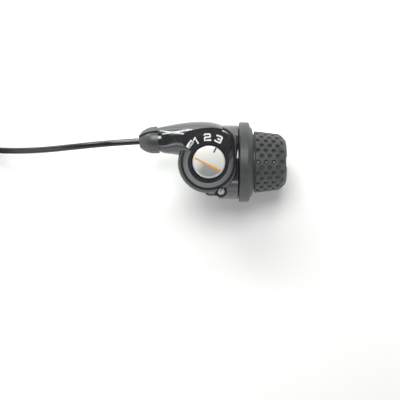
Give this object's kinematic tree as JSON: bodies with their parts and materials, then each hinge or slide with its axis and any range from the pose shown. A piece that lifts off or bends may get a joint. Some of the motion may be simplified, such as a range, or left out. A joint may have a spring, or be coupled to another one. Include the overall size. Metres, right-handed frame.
{
  "type": "twist grip shifter",
  "caption": "Bicycle twist grip gear shifter: dimpled turning grip with a guard flange, black clamp housing with a round gear indicator dial, cable arm and adjusting barrel.",
  "frame": {"origin": "on the handlebar's axis, straight under the centre of the indicator dial", "axes": "+X along the bar towards the grip's open end, +Y to the cable side, +Z out of the indicator's face"},
  "size_m": [0.2433, 0.0676, 0.0504],
  "materials": {
    "housing_plastic": "polished moulded black",
    "grip_plastic": "fine moulded texture, dark grey",
    "grip_rubber": "matt dimpled dark grey",
    "drum_plastic": "plain moulded natural",
    "zinc_steel": "bright zinc plated",
    "spring_steel": "tempered strip and wire",
    "dial_plastic": "plain moulded",
    "dial_foil": "brushed foil with a printed stripe and mark",
    "casing_plastic": "smooth extruded black",
    "ferrule_metal": "drawn cup",
    "tie_plastic": "flexible strip"
  },
  "bodies": {
    "housing": {"main_housing": "housing_plastic", "indicator_cover": "housing_plastic", "cover_screw": "zinc_steel", "clamp_bolt": "zinc_steel", "clamp_nut": "zinc_steel", "grip_retainer": "spring_steel", "detent_spring": "spring_steel", "inner_wire": "spring_steel"},
    "grip": {"winding_drum": "drum_plastic", "cable_nipple": "zinc_steel", "grip_core": "grip_plastic", "grip_rubber": "grip_rubber"},
    "dial": {"dial_gear": "drum_plastic", "dial_plate": "dial_plastic", "dial_foil": "dial_foil"},
    "casing_end": {"casing_ferrule": "ferrule_metal", "outer_casing": "casing_plastic", "casing_coil": "casing_plastic", "coil_tie": "tie_plastic", "casing_tail": "casing_plastic", "casing_end_cap": "ferrule_metal", "wire_tail": "spring_steel", "wire_tip": "ferrule_metal"},
    "barrel": {"adjusting_barrel": "housing_plastic", "barrel_stem": "zinc_steel"}
  },
  "joints": [
    {"name": "grip_turn", "type": "hinge", "parent": "housing", "child": "grip", "pos_m": [0.03, 0, 0], "axis": [1, 0, 0], "range_deg": [-55, 0], "deforming": ["detent_spring"]},
    {"name": "dial_turn", "type": "hinge", "parent": "housing", "child": "dial", "pos_m": [0, 0, 0.02], "axis": [0, 0, 1], "range_deg": [0, 55]},
    {"name": "barrel_advance", "type": "slide", "parent": "housing", "child": "casing_end", "axis": [-0.9954, -0.0958, 0], "range_m": [0, 0.004]},
    {"name": "barrel_turn", "type": "hinge", "parent": "casing_end", "child": "barrel", "pos_m": [-0.0306, 0.0138, 0.013], "axis": [-0.9954, -0.0958, 0], "range_deg": [0, 1800]}
  ],
  "couplings": [
    {"joint": "dial_turn", "follows": "grip_turn", "ratio": -1},
    {"joint": "barrel_turn", "follows": "barrel_advance", "rad_per_m": 7854}
  ]
}
